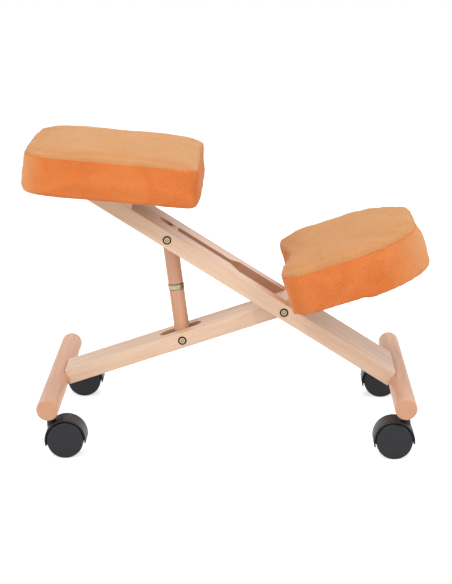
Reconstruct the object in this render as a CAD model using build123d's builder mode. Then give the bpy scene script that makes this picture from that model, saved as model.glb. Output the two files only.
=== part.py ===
from build123d import *
from math import cos, exp, radians, sin, sqrt, tan
import os

# A wooden kneeling chair on casters: two beams crossed like scissors, a sloping knee pad on
# one, a seat on the other, and a screw-adjusted strut that sets how far the scissors open.
# Millimetres. +X points from the seat to the knee pad, +Y across the chair, +Z up, and the
# origin lies on the floor, midway between the two crossbars.

# Casters: twin wheels under a hood, on a stem that leans with the crossbar
wheel_diameter = 60.0
wheel_width = 19.5
wheel_edge_round = 3.5
wheel_rim_wall = 5.0
wheel_hub_diameter = 16.0
wheel_recess_depth = 10.0
wheel_face_dome = 0.8
wheel_bore_floor = 4.0
wheel_gap = 1.5
hood_wall = 2.5
hood_width = 46.0
hood_web = 11.0
hood_skirt = 7.0
hood_edge_round = 0.8
hub_boss_diameter = 22.0
axle_diameter = 6.0
wheel_side_play = 0.5
caster_trail = 22.0
stem_drop = 57.4
stem_lean = 4.8
caster_inset = 38.0
stem_diameter = 10.0
stem_foot_diameter = 8.0
stem_foot_length = 24.0
stem_reach = 6.0
neck_diameter = 15.0
neck_gap = 0.3
socket_diameter = 15.0
socket_lip = 0.8

# Crossbars
bar_spacing = 583.0
bar_diameter = 36.5
bar_length = 450.0
bar_end_round = 3.0

# Beams: each butts on its crossbar and is hollowed to it a little
knee_slope = 18.3
seat_slope = 32.2
cope_depth = 1.8
beam_edge_round = 1.5
seat_beam_width = 142.0
seat_beam_thickness = 26.5
knee_beam_width = 79.0
knee_beam_thickness = 26.0
tongue_width = 74.0
tongue_shoulder = 40.0
shoulder_taper = 12.0
tongue_reach = 195.0
seat_arm = 232.0
knee_arm = 182.0

# Slots of the seat beam, measured along it from the pivot
wide_slot_width = 76.0
wide_slot_front = 40.0
wide_slot_rear = 98.0
slot_taper = 18.0
narrow_slot_width = 30.0
narrow_slot_end = 222.0
slot_corner = 4.0

# Strut: two dowels, a screw with opposite threads and the ring that turns it
dowel_diameter = 26.0
dowel_overrun = 10.0
dowel_end_round = 2.0
pocket_play = 1.25
foot_slot_width = 28.0
foot_slot_length = 75.0
ring_height_on_strut = 88.0
ring_diameter = 28.0
ring_height = 8.0
ring_groove_depth = 0.6
ring_groove_width = 1.2
ring_washer_thickness = 1.0
adjuster_gap = 0.3
screw_diameter = 12.0
screw_reach = 56.0
screw_bore_diameter = 15.0
screw_bore_depth = 62.0
insert_diameter = 19.0
insert_length = 24.0
lower_thread_play = 0.05
upper_thread_play = 0.9

# Connector bolts and sleeve nuts of the three pivots
shank_diameter = 8.0
connector_head_diameter = 14.0
connector_head_thickness = 2.4
connector_bevel = 0.9
connector_recess = 2.0
connector_recess_play = 0.5
connector_socket_size = 5.0
connector_socket_depth = 1.7
sleeve_diameter = 10.5
sleeve_length = 20.0
shank_end_gap = 6.0
hole_play = 0.1
thread_play = 0.02
running_clearance = 0.05
bush_diameter = 13.0
pivot_washer_diameter = 24.0
pivot_washer_thickness = 0.8

# Bolts and barrel nuts that hold each crossbar to its beam
bar_bolt_head_diameter = 13.0
bar_bolt_head_height = 6.0
bar_bolt_seat = 9.0
barrel_distance = 46.0
barrel_diameter = 12.0
barrel_length = 20.0
seat_bar_bolt_spacing = 90.0
knee_bar_bolt_spacing = 44.0

# Pads: a plywood board, a foam core and a plush cover with a hanging rim
board_thickness = 12.0
cover_band = 68.0
cover_crown = 8.0
cover_waist = 2.5
cover_corner = 9.0
rim_hang = 6.8
foam_top_gap = 12.0
sections_per_half = 8
section_growth = 1.55
seat_tilt = 5.6
seat_pad_reach = 349.9
seat_pad_rise = 23.4
seat_length = 296.0
seat_width = 346.0
seat_corner = 48.0
seat_cover_wall = 18.0
knee_rear = 14.0
knee_length = 246.0
knee_width = 356.0
knee_rear_corner = 60.0
knee_front_corner = 90.0
knee_notch_depth = 18.0
knee_notch_spread = 46.0
knee_board_margin = 20.0
board_corner = 40.0
rim_beam_play = 1.0

# Wedge block between the seat beam and the seat board
block_front = 31.0
block_rear = -30.0
seat_beam_end = -80.0

# Bolts and tee nuts that hold the boards
board_bolt_diameter = 6.0
board_bolt_head_diameter = 12.0
board_bolt_head_height = 5.0
board_bolt_recess = 8.0
tee_flange_diameter = 20.0
tee_flange_thickness = 1.5
tee_barrel_diameter = 8.5
seat_bolt_front = 12.0
seat_bolt_rear = -55.0
seat_bolt_spacing = 80.0
knee_bolt_first = 75.0
knee_bolt_second = 165.0
knee_bolt_spacing = 48.0

# Places worked out from the sizes above
wheel_radius = wheel_diameter / 2
bar_radius = bar_diameter / 2
lean = radians(stem_lean)
rear_bar = Vector(
    -bar_spacing / 2, 0, wheel_radius + stem_drop * cos(lean) - caster_trail * sin(lean)
)
front_bar = Vector(
    bar_spacing / 2, 0, wheel_radius + stem_drop * cos(lean) + caster_trail * sin(lean)
)
knee_dir = Vector(cos(radians(knee_slope)), 0, sin(radians(knee_slope)))
knee_up = Vector(-knee_dir.Z, 0, knee_dir.X)
seat_dir = Vector(cos(radians(seat_slope)), 0, -sin(radians(seat_slope)))
seat_up = Vector(-seat_dir.Z, 0, seat_dir.X)
pivot_x = (
    front_bar.Z - rear_bar.Z
    + front_bar.X * tan(radians(seat_slope)) + rear_bar.X * tan(radians(knee_slope))
) / (tan(radians(seat_slope)) + tan(radians(knee_slope)))
pivot = Vector(pivot_x, 0, rear_bar.Z + (pivot_x - rear_bar.X) * tan(radians(knee_slope)))
rear_reach = (pivot - rear_bar).length
front_reach = (front_bar - pivot).length
strut_top = pivot - seat_dir * seat_arm
strut_foot = pivot - knee_dir * knee_arm
strut_length = (strut_top - strut_foot).length
strut_up = (strut_top - strut_foot).normalized()

# Working planes: X along the piece, Z along its upward normal, Y across the chair
knee_plane = Plane(origin=pivot, x_dir=knee_dir, z_dir=knee_up)
seat_plane = Plane(origin=pivot, x_dir=seat_dir, z_dir=seat_up)
strut_plane = Plane(origin=strut_foot, x_dir=(strut_up.Z, 0, -strut_up.X), z_dir=strut_up)
tilt = radians(seat_tilt)
seat_pad_plane = Plane(
    origin=pivot - seat_dir * seat_pad_reach + seat_up * seat_pad_rise,
    x_dir=(cos(tilt), 0, -sin(tilt)),
    z_dir=(sin(tilt), 0, cos(tilt)),
)
knee_pad_origin = (
    pivot
    + knee_dir * (knee_rear + knee_length / 2)
    + knee_up * (knee_beam_thickness / 2 - rim_hang)
)
knee_pad_plane = Plane(origin=knee_pad_origin, x_dir=knee_dir, z_dir=knee_up)

board_top = rim_hang + board_thickness
foam_top = cover_band - foam_top_gap
across = Vector(0, 1, 0)
upright = (Align.CENTER, Align.CENTER, Align.MIN)


def keep(piece, name):
    """Label a finished piece and write it to its own file."""
    piece.part.label = name
    export_step(piece.part, f"parts/{name}.step")


def local_plane(base, x, y, z, z_dir):
    """A plane at a place given in the base plane, facing along a world direction."""
    return Plane(origin=base.from_local_coords((x, y, z)), x_dir=base.x_dir, z_dir=z_dir)


def drill(mouth, diameter, depth):
    """Cut a round hole into the piece being built, from the mouth plane along its normal."""
    with Locations(mouth):
        Cylinder(diameter / 2, depth, align=upright, mode=Mode.SUBTRACT)


def rod(base, diameter, length):
    """Add a round rod to the piece being built, from the base plane along its normal."""
    with Locations(base):
        Cylinder(diameter / 2, length, align=upright)


def near_face(place, width):
    """The plane of a connector bolt's seat in a beam's near side, facing into the wood."""
    return Plane(
        origin=place - across * (width / 2 - connector_recess), x_dir=(1, 0, 0), z_dir=across
    )


def far_face(place, width):
    """The plane of a sleeve nut's seat in a beam's far side, facing into the wood."""
    return Plane(
        origin=place + across * (width / 2 - connector_recess), x_dir=(1, 0, 0), z_dir=-across
    )


def drill_connector(place, width):
    """Cut the holes and head recesses of one connector bolt across a beam."""
    for seat in (near_face(place, width), far_face(place, width)):
        drill(
            seat.offset(-connector_recess * 2),
            connector_head_diameter + 2 * connector_recess_play,
            connector_recess * 2,
        )
    drill(near_face(place, width), shank_diameter + 2 * hole_play, width)
    drill(far_face(place, width), sleeve_diameter + 2 * hole_play, sleeve_length + hole_play)


def connector_head(seat):
    """Add a bevelled head with a hexagon socket to the piece being built."""
    rod(seat.offset(-connector_head_thickness), connector_head_diameter, connector_head_thickness)


def make_connector_bolt(place, width):
    """A connector bolt across a beam: bevelled head, hexagon socket and plain shank."""
    seat = near_face(place, width)
    with BuildPart() as bolt:
        connector_head(seat)
        chamfer(bolt.edges().sort_by(Axis.Y)[0], connector_bevel)
        rod(seat, shank_diameter, width - 2 * connector_recess - shank_end_gap)
        with BuildSketch(seat.offset(-connector_head_thickness)):
            RegularPolygon(connector_socket_size / 2, 6, major_radius=False)
        extrude(amount=connector_socket_depth, mode=Mode.SUBTRACT)
    return bolt


def make_sleeve_nut(place, width):
    """The sleeve nut on the far side of a connector bolt, with the same head."""
    seat = far_face(place, width)
    with BuildPart() as nut:
        connector_head(seat)
        chamfer(nut.edges().sort_by(Axis.Y)[-1], connector_bevel)
        rod(seat, sleeve_diameter, sleeve_length)
        drill(
            seat.offset(shank_end_gap / 2),
            shank_diameter + 2 * thread_play,
            sleeve_length,
        )
        with BuildSketch(seat.offset(-connector_head_thickness)):
            RegularPolygon(connector_socket_size / 2, 6, major_radius=False)
        extrude(amount=connector_socket_depth, mode=Mode.SUBTRACT)
    return nut


def bar_bolt_planes(bar, towards, spacing):
    """The seats of a crossbar's bolts, on the bar's outer side, facing towards the beam."""
    return [
        Plane(
            origin=bar - towards * bar_bolt_seat + across * (side * spacing / 2),
            x_dir=across,
            z_dir=towards,
        )
        for side in (-1, 1)
    ]


def barrel_planes(bar, towards, up, spacing):
    """The lower ends of a crossbar's barrel nuts, standing square to the beam's face."""
    return [
        Plane(
            origin=bar + towards * barrel_distance - up * (barrel_length / 2)
            + across * (side * spacing / 2),
            x_dir=towards,
            z_dir=up,
        )
        for side in (-1, 1)
    ]


def drill_bar_bolts(bar, towards, up, spacing, thickness):
    """Cut the bolt holes and barrel nut holes into a beam's end."""
    for seat in bar_bolt_planes(bar, towards, spacing):
        drill(
            seat.offset(bar_bolt_seat),
            shank_diameter + 2 * hole_play,
            barrel_distance + barrel_diameter,
        )
    for foot in barrel_planes(bar, towards, up, spacing):
        drill(
            foot.offset(-thickness),
            barrel_diameter + 2 * hole_play,
            thickness + barrel_length,
        )


def make_bar_bolts(bar, towards, spacing):
    """The pair of bolts that hold one crossbar, as one group."""
    with BuildPart() as bolts:
        for seat in bar_bolt_planes(bar, towards, spacing):
            rod(seat.offset(-bar_bolt_head_height), bar_bolt_head_diameter, bar_bolt_head_height)
            rod(seat, shank_diameter, bar_bolt_seat + barrel_distance + barrel_diameter / 2)
            with BuildSketch(seat.offset(-bar_bolt_head_height)):
                RegularPolygon(connector_socket_size / 2, 6, major_radius=False)
            extrude(amount=bar_bolt_head_height / 2, mode=Mode.SUBTRACT)
    return bolts


def make_barrel_nuts(bar, towards, up, spacing):
    """The pair of barrel nuts that one crossbar's bolts screw into, as one group."""
    with BuildPart() as nuts:
        for foot in barrel_planes(bar, towards, up, spacing):
            rod(foot, barrel_diameter, barrel_length)
        for seat in bar_bolt_planes(bar, towards, spacing):
            drill(seat, shank_diameter + 2 * thread_play, bar_bolt_seat + 2 * barrel_distance)
    return nuts


def caster_plane(bar, direction, side):
    """A caster's frame: origin on the bar's axis, Z up its stem, X the way its wheels trail."""
    return Plane(
        origin=bar + across * (side * (bar_length / 2 - caster_inset)),
        x_dir=(direction * cos(lean), 0, direction * sin(lean)),
        z_dir=(-sin(lean), 0, cos(lean)),
    )


def make_crossbar(bar, towards, direction, spacing):
    """A round crossbar with its caster socket holes and counterbored bolt holes."""
    with BuildPart() as crossbar:
        with BuildSketch(Plane(origin=bar - across * (bar_length / 2), x_dir=(1, 0, 0), z_dir=across)):
            Circle(bar_radius)
        extrude(amount=bar_length)
        fillet(crossbar.edges().filter_by(GeomType.CIRCLE), bar_end_round)
        for side in (-1, 1):
            stem = caster_plane(bar, direction, side)
            drill(stem.offset(-bar_diameter), socket_diameter, bar_diameter + stem_reach + socket_lip)
        for seat in bar_bolt_planes(bar, towards, spacing):
            drill(seat, shank_diameter + 2 * hole_play, bar_diameter * 2)
            drill(
                seat.offset(-bar_diameter),
                bar_bolt_head_diameter + 2 * connector_recess_play,
                bar_diameter,
            )
    return crossbar


def make_sockets(bar, direction):
    """The pair of caster sockets pressed into one crossbar, as one group."""
    with BuildPart() as sockets:
        for side in (-1, 1):
            stem = caster_plane(bar, direction, side)
            foot = stem.offset(-bar_radius - socket_lip)
            rod(foot, socket_diameter, bar_radius + stem_reach + 2 * socket_lip)
            drill(
                foot,
                stem_diameter + 2 * running_clearance,
                bar_radius + stem_reach + socket_lip + running_clearance,
            )
    return sockets


def make_caster(name, bar, direction, side):
    """Write the five pieces of one caster: hood, stem, axle and two wheels."""
    stem_frame = caster_plane(bar, direction, side)
    axle = Plane(
        origin=stem_frame.from_local_coords((caster_trail, 0, -stem_drop)),
        x_dir=stem_frame.x_dir,
        z_dir=(0, -direction, 0),
    )
    well_radius = wheel_radius + wheel_gap
    hood_radius = well_radius + hood_wall
    neck_top = stem_frame.offset(-bar_radius - socket_lip - neck_gap)
    with BuildPart() as hood:
        with BuildSketch(axle):
            Circle(hood_radius)
            with Locations((0, -hood_skirt)):
                Rectangle(
                    2 * hood_radius,
                    2 * hood_radius,
                    align=(Align.CENTER, Align.MAX),
                    mode=Mode.SUBTRACT,
                )
        extrude(amount=hood_width / 2, both=True)
        sides = hood.faces().filter_by(Axis(axle.origin, across))
        fillet(sides.edges(), hood_edge_round)
        rod(neck_top.offset(-stem_foot_length), neck_diameter, stem_foot_length)
        for face in (-1, 1):
            with BuildSketch(axle.offset(face * hood_web / 2)):
                Circle(well_radius)
            extrude(amount=face * hood_width, mode=Mode.SUBTRACT)
        with BuildSketch(axle):
            Circle(hub_boss_diameter / 2)
        extrude(amount=hood_web / 2, both=True)
        drill(axle.offset(-hood_width), axle_diameter, 2 * hood_width)
        drill(neck_top.offset(-stem_foot_length), stem_foot_diameter, 2 * stem_foot_length)
    keep(hood, f"{name}_hood")

    with BuildPart() as stem:
        rod(neck_top, stem_diameter, bar_radius + socket_lip + neck_gap + stem_reach)
        rod(neck_top.offset(-stem_foot_length), stem_foot_diameter, stem_foot_length)
        chamfer(stem.edges().sort_by(Axis.Z)[-1], 1.0)
    keep(stem, f"{name}_stem")

    wheel_start = hood_web / 2 + wheel_side_play
    axle_half = wheel_start + wheel_width - wheel_bore_floor - wheel_side_play
    with BuildPart() as pin:
        rod(axle.offset(-axle_half), axle_diameter, 2 * axle_half)
    keep(pin, f"{name}_axle")

    bore_radius = axle_diameter / 2 + running_clearance
    for end, face in (("near", -1), ("far", 1)):
        profile_plane = Plane(
            origin=axle.origin + across * (face * wheel_start),
            x_dir=across * face,
            z_dir=stem_frame.x_dir * face,
        )
        with BuildPart() as wheel:
            with BuildSketch(profile_plane):
                with BuildLine():
                    Polyline(
                        (wheel_width + wheel_face_dome, 0),
                        (wheel_width - wheel_bore_floor, 0),
                        (wheel_width - wheel_bore_floor, bore_radius),
                        (0, bore_radius),
                        (0, wheel_hub_diameter / 2),
                        (wheel_recess_depth, wheel_hub_diameter / 2),
                        (wheel_recess_depth, wheel_radius - wheel_rim_wall),
                        (0, wheel_radius - wheel_rim_wall),
                        (0, wheel_radius),
                        (wheel_width - wheel_edge_round, wheel_radius),
                    )
                    RadiusArc(
                        (wheel_width - wheel_edge_round, wheel_radius),
                        (wheel_width, wheel_radius - wheel_edge_round),
                        wheel_edge_round,
                    )
                    Line(
                        (wheel_width, wheel_radius - wheel_edge_round),
                        (wheel_width + wheel_face_dome, 0),
                    )
                make_face()
            revolve(axis=Axis(axle.origin, across))
        keep(wheel, f"{name}_{end}_wheel")


def round_off(distance_in, radius):
    """How far a rounded corner of a given radius stands back, at a distance in from its end."""
    share = 0.95 * max(0.0, 1 - distance_in / radius)
    return radius * (1 - sqrt(1 - share * share))


def make_cover(frame, length, width, rear_corner, front_corner, notch_depth, core):
    """A boxed cushion cover: crowned top, drawn-in sides, rounded plan, optional rear notch.

    Sections across the chair, closer together towards the sides, are joined in one smooth
    loft. Each is a bottom line, two drawn-in ends, a crown arc and four rounded corners. The
    core (length, width, shift) is the pocket that the board and the foam fill from below.
    """
    core_long, core_wide, core_shift = core
    growth = [section_growth ** step for step in range(sections_per_half + 1)]
    half = [width / 2 * (growth[-1] - step) / (growth[-1] - 1) for step in growth]
    with BuildPart() as cushion:
        for place in [-y for y in half] + half[-2::-1]:
            depth_in = width / 2 - abs(place)
            ease = round_off(depth_in, cover_corner)
            notch = notch_depth * exp(-((place / knee_notch_spread) ** 2))
            rear = -length / 2 + round_off(depth_in, rear_corner) + notch
            front = length / 2 - round_off(depth_in, front_corner)
            low = ease
            high = cover_band - ease
            crown = cover_crown * (1 - (2 * place / width) ** 2) + 0.5
            middle = (low + high) / 2
            bend = cover_corner * (1 - sqrt(0.5))
            section = Plane(
                origin=frame.from_local_coords((0, place, 0)),
                x_dir=frame.x_dir,
                z_dir=-across,
            )
            with BuildSketch(section):
                with BuildLine():
                    Line((rear + cover_corner, low), (front - cover_corner, low))
                    ThreePointArc(
                        (front - cover_corner, low),
                        (front - bend, low + bend),
                        (front, low + cover_corner),
                    )
                    ThreePointArc(
                        (front, low + cover_corner),
                        (front - cover_waist, middle),
                        (front, high - cover_corner),
                    )
                    ThreePointArc(
                        (front, high - cover_corner),
                        (front - bend, high - bend),
                        (front - cover_corner, high),
                    )
                    ThreePointArc(
                        (front - cover_corner, high),
                        ((rear + front) / 2, high + crown),
                        (rear + cover_corner, high),
                    )
                    ThreePointArc(
                        (rear + cover_corner, high),
                        (rear + bend, high - bend),
                        (rear, high - cover_corner),
                    )
                    ThreePointArc(
                        (rear, high - cover_corner),
                        (rear + cover_waist, middle),
                        (rear, low + cover_corner),
                    )
                    ThreePointArc(
                        (rear, low + cover_corner),
                        (rear + bend, low + bend),
                        (rear + cover_corner, low),
                    )
                make_face()
        loft()
        with BuildSketch(frame.offset(-cover_band)):
            with Locations((core_shift, 0)):
                RectangleRounded(core_long, core_wide, board_corner)
        extrude(amount=cover_band + foam_top, mode=Mode.SUBTRACT)
    return cushion


def make_core(frame, first, last, core):
    """A rounded slab parallel to a pad, between two heights above the pad's rim."""
    core_long, core_wide, core_shift = core
    with BuildPart() as slab:
        with BuildSketch(frame.offset(first)):
            with Locations((core_shift, 0)):
                RectangleRounded(core_long, core_wide, board_corner)
        extrude(amount=last - first)
    return slab


def drill_tee_nuts(places):
    """Cut the seats of tee nuts into a board: flange on top, barrel through."""
    for top in places:
        drill(top.offset(-tee_flange_thickness), tee_flange_diameter, 2 * tee_flange_thickness)
        drill(top.offset(-2 * board_thickness), tee_barrel_diameter, 3 * board_thickness)


def make_board_bolts(seats, lengths):
    """A group of bolts that hold a board, each from its seat in the wood up to the board's top."""
    with BuildPart() as bolts:
        for seat, length in zip(seats, lengths):
            rod(seat.offset(-board_bolt_head_height), board_bolt_head_diameter, board_bolt_head_height)
            rod(seat, board_bolt_diameter, length)
            with BuildSketch(seat.offset(-board_bolt_head_height)):
                RegularPolygon(connector_socket_size / 2, 6, major_radius=False)
            extrude(amount=board_bolt_head_height / 2, mode=Mode.SUBTRACT)
    return bolts


def make_tee_nuts(places):
    """A group of tee nuts: a flange in the board's top and a threaded barrel below it."""
    with BuildPart() as nuts:
        for top in places:
            rod(top.offset(-tee_flange_thickness), tee_flange_diameter, tee_flange_thickness)
            rod(top.offset(-board_thickness), tee_barrel_diameter, board_thickness)
            drill(
                top.offset(-board_thickness * 2),
                board_bolt_diameter + 2 * thread_play,
                board_thickness * 3,
            )
    return nuts


os.makedirs("parts", exist_ok=True)

# Seat beam: a board slotted for the knee beam and for the strut, bevelled under the seat
seat_top = seat_beam_thickness / 2
seat_end = front_reach - bar_radius + cope_depth
half_wide = wide_slot_width / 2
half_narrow = narrow_slot_width / 2
board_low = seat_pad_plane.offset(rim_hang)
seat_bolt_places = [
    (along, side * seat_bolt_spacing / 2)
    for along in (seat_bolt_front, seat_bolt_rear)
    for side in (-1, 1)
]


def underside_of_seat_beam(along):
    """Height of the seat beam's lower face over the seat pad's rim plane, at a place along it."""
    foot = seat_pad_plane.to_local_coords(pivot - seat_up * seat_top)
    run = seat_pad_plane.to_local_coords(pivot - seat_up * seat_top + seat_dir) - foot
    return foot.Z + (along - foot.X) * run.Z / run.X


seat_bolt_seats = [
    seat_pad_plane.offset(underside_of_seat_beam(along) + board_bolt_recess)
    for along, across_place in seat_bolt_places
]
seat_bolt_planes = [
    Plane(
        origin=plane.from_local_coords((along, across_place, 0)),
        x_dir=plane.x_dir,
        z_dir=plane.z_dir,
    )
    for plane, (along, across_place) in zip(seat_bolt_seats, seat_bolt_places)
]
seat_bolt_lengths = [
    rim_hang + board_thickness - underside_of_seat_beam(along) - board_bolt_recess
    for along, across_place in seat_bolt_places
]
seat_tee_planes = [
    plane.offset(length) for plane, length in zip(seat_bolt_planes, seat_bolt_lengths)
]
beam_rear = (strut_top - pivot).dot(seat_dir) - seat_length

with BuildPart() as seat_beam:
    with BuildSketch(seat_plane.offset(-seat_top)):
        with Locations((beam_rear, 0)):
            Rectangle(seat_end - beam_rear, seat_beam_width, align=(Align.MIN, Align.CENTER))
        with BuildLine():
            Polyline(
                (wide_slot_front, half_wide),
                (-wide_slot_rear, half_wide),
                (-wide_slot_rear - slot_taper, half_narrow),
                (-narrow_slot_end, half_narrow),
                (-narrow_slot_end, -half_narrow),
                (-wide_slot_rear - slot_taper, -half_narrow),
                (-wide_slot_rear, -half_wide),
                (wide_slot_front, -half_wide),
                close=True,
            )
        make_face(mode=Mode.SUBTRACT)
    extrude(amount=seat_beam_thickness)
    long_edges = seat_beam.edges().filter_by(Axis(pivot, seat_dir))
    fillet(long_edges.group_by(Axis.Y)[0] + long_edges.group_by(Axis.Y)[-1], beam_edge_round)
    slot_ends = seat_beam.edges().filter_by(Axis(pivot, seat_up))
    fillet(
        [edge for edge in slot_ends if abs(edge.center().Y) < half_wide + slot_corner
         and edge.center().X > pivot.X - seat_arm],
        slot_corner,
    )
    with Locations(board_low):
        Box(
            2 * seat_length,
            2 * seat_width,
            seat_length,
            align=upright,
            mode=Mode.SUBTRACT,
        )
    with Locations(local_plane(seat_pad_plane, seat_beam_end, 0, 0, seat_pad_plane.z_dir)):
        Box(
            2 * seat_length,
            2 * seat_width,
            2 * seat_length,
            align=(Align.MAX, Align.CENTER, Align.CENTER),
            mode=Mode.SUBTRACT,
        )
    drill(
        Plane(origin=front_bar - across * bar_length, x_dir=(1, 0, 0), z_dir=across),
        bar_diameter,
        2 * bar_length,
    )
    drill(
        Plane(origin=strut_top - strut_up * seat_beam_width / 2, x_dir=across, z_dir=strut_up),
        dowel_diameter + 2 * pocket_play,
        seat_beam_width,
    )
    drill_connector(pivot, seat_beam_width)
    drill_connector(strut_top, seat_beam_width)
    drill_bar_bolts(front_bar, -seat_dir, seat_up, seat_bar_bolt_spacing, seat_beam_thickness)
    for seat in seat_bolt_planes:
        drill(seat.offset(-seat_length / 2), board_bolt_head_diameter + 2 * hole_play, seat_length / 2)
        drill(seat, board_bolt_diameter + 2 * hole_play, seat_length)
keep(seat_beam, "seat_beam")

# Wedge block that carries the front of the seat board
with BuildPart() as seat_block:
    with BuildSketch(local_plane(seat_pad_plane, 0, 0, 0, -across)):
        with BuildLine():
            Polyline(
                (block_rear, rim_hang),
                (block_front, rim_hang),
                (block_front, underside_of_seat_beam(block_front)),
                (block_rear, underside_of_seat_beam(block_rear)),
                close=True,
            )
        make_face()
    extrude(amount=seat_beam_width / 2, both=True)
    with Locations(seat_plane.offset(seat_top)):
        Box(
            4 * seat_length,
            2 * seat_width,
            2 * seat_length,
            align=(Align.CENTER, Align.CENTER, Align.MAX),
            mode=Mode.SUBTRACT,
        )
    for seat in seat_bolt_planes:
        drill(seat, board_bolt_diameter + 2 * hole_play, seat_length)
keep(seat_block, "seat_wedge_block")

# Knee beam: full width behind the crossing, a narrower tongue through the seat beam's slot
knee_top = knee_beam_thickness / 2
knee_end = -rear_reach + bar_radius - cope_depth
knee_bolt_planes = [
    Plane(
        origin=knee_plane.from_local_coords(
            (along, side * knee_bolt_spacing / 2, -knee_top + board_bolt_recess)
        ),
        x_dir=knee_dir,
        z_dir=knee_up,
    )
    for along in (knee_bolt_first, knee_bolt_second)
    for side in (-1, 1)
]
knee_bolt_length = knee_beam_thickness - board_bolt_recess + board_thickness
knee_tee_planes = [plane.offset(knee_bolt_length) for plane in knee_bolt_planes]

with BuildPart() as knee_beam:
    with BuildSketch(knee_plane.offset(-knee_top)):
        with BuildLine():
            Polyline(
                (knee_end, knee_beam_width / 2),
                (-tongue_shoulder - shoulder_taper, knee_beam_width / 2),
                (-tongue_shoulder, tongue_width / 2),
                (tongue_reach, tongue_width / 2),
                (tongue_reach, -tongue_width / 2),
                (-tongue_shoulder, -tongue_width / 2),
                (-tongue_shoulder - shoulder_taper, -knee_beam_width / 2),
                (knee_end, -knee_beam_width / 2),
                close=True,
            )
        make_face()
    extrude(amount=knee_beam_thickness)
    long_edges = knee_beam.edges().filter_by(Axis(pivot, knee_dir))
    fillet(long_edges.group_by(Axis.Y)[0] + long_edges.group_by(Axis.Y)[-1], beam_edge_round)
    with BuildSketch(knee_plane.offset(-knee_beam_thickness)):
        with Locations((-knee_arm, 0)):
            SlotOverall(foot_slot_length, foot_slot_width)
    extrude(amount=2 * knee_beam_thickness, mode=Mode.SUBTRACT)
    drill(
        Plane(origin=rear_bar - across * bar_length, x_dir=(1, 0, 0), z_dir=across),
        bar_diameter,
        2 * bar_length,
    )
    drill(
        Plane(origin=pivot - across * seat_beam_width, x_dir=(1, 0, 0), z_dir=across),
        bush_diameter,
        2 * seat_beam_width,
    )
    drill_connector(strut_foot, knee_beam_width)
    drill_bar_bolts(rear_bar, knee_dir, knee_up, knee_bar_bolt_spacing, knee_beam_thickness)
    for seat in knee_bolt_planes:
        drill(seat.offset(-knee_length / 2), board_bolt_head_diameter + 2 * hole_play, knee_length / 2)
        drill(seat, board_bolt_diameter + 2 * hole_play, knee_length)
keep(knee_beam, "knee_beam")

# Crossbars with their bolts, barrel nuts and caster sockets
for name, bar, towards, up, direction, spacing in (
    ("front", front_bar, -seat_dir, seat_up, -1, seat_bar_bolt_spacing),
    ("rear", rear_bar, knee_dir, knee_up, 1, knee_bar_bolt_spacing),
):
    keep(make_crossbar(bar, towards, direction, spacing), f"{name}_crossbar")
    keep(make_bar_bolts(bar, towards, spacing), f"{name}_crossbar_bolts")
    keep(make_barrel_nuts(bar, towards, up, spacing), f"{name}_barrel_nuts")
    keep(make_sockets(bar, direction), f"{name}_caster_sockets")
    for side_name, side in (("near", -1), ("far", 1)):
        make_caster(f"{name}_{side_name}_caster", bar, direction, side)

# Pivot: bolt and sleeve nut in the seat beam, bush in the knee beam, washers between them
keep(make_connector_bolt(pivot, seat_beam_width), "pivot_bolt")
keep(make_sleeve_nut(pivot, seat_beam_width), "pivot_sleeve_nut")
tongue_side = Plane(origin=pivot - across * (tongue_width / 2), x_dir=(1, 0, 0), z_dir=across)
with BuildPart() as pivot_bush:
    rod(tongue_side, bush_diameter, tongue_width)
    drill(tongue_side, shank_diameter + 2 * running_clearance, tongue_width)
keep(pivot_bush, "pivot_bush")
washer_gap = (wide_slot_width - tongue_width) / 2 - pivot_washer_thickness
with BuildPart() as pivot_washers:
    for side in (-1, 1):
        washer_face = Plane(
            origin=pivot + across * (side * (tongue_width / 2 + washer_gap / 2)),
            x_dir=(1, 0, 0),
            z_dir=across * side,
        )
        rod(washer_face, pivot_washer_diameter, pivot_washer_thickness)
        drill(washer_face, shank_diameter + 2 * running_clearance, pivot_washer_thickness)
keep(pivot_washers, "pivot_washers")

# Strut: dowels on connector bolts, threaded inserts in their mouths, and the adjuster between
keep(make_connector_bolt(strut_top, seat_beam_width), "upper_strut_bolt")
keep(make_sleeve_nut(strut_top, seat_beam_width), "upper_strut_sleeve_nut")
keep(make_connector_bolt(strut_foot, knee_beam_width), "lower_strut_bolt")
keep(make_sleeve_nut(strut_foot, knee_beam_width), "lower_strut_sleeve_nut")
mouth_gap = ring_height / 2 + ring_washer_thickness + adjuster_gap
ring_middle = strut_plane.offset(ring_height_on_strut)
ring_low = ring_middle.offset(-mouth_gap)
ring_high = ring_middle.offset(mouth_gap)
down_from_ring = Plane(origin=ring_low.origin, x_dir=strut_plane.x_dir, z_dir=-strut_up)
up_from_ring = Plane(origin=ring_high.origin, x_dir=strut_plane.x_dir, z_dir=strut_up)
for name, mouth, length, bolt_place, play in (
    (
        "lower",
        down_from_ring,
        ring_height_on_strut - mouth_gap + dowel_overrun,
        strut_foot,
        lower_thread_play,
    ),
    (
        "upper",
        up_from_ring,
        strut_length - ring_height_on_strut - mouth_gap + dowel_overrun,
        strut_top,
        upper_thread_play,
    ),
):
    with BuildPart() as dowel:
        rod(mouth, dowel_diameter, length)
        fillet(dowel.edges().filter_by(GeomType.CIRCLE).sort_by(Axis(mouth.origin, mouth.z_dir))[-1],
               dowel_end_round)
        drill(mouth, insert_diameter, insert_length)
        drill(mouth, screw_bore_diameter, screw_bore_depth)
        drill(
            Plane(origin=bolt_place - across * dowel_diameter, x_dir=(1, 0, 0), z_dir=across),
            shank_diameter + 2 * running_clearance,
            2 * dowel_diameter,
        )
    keep(dowel, f"strut_{name}_dowel")
    with BuildPart() as insert:
        rod(mouth, insert_diameter, insert_length)
        drill(mouth, screw_diameter + 2 * play, insert_length)
    keep(insert, f"strut_{name}_insert")

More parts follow.
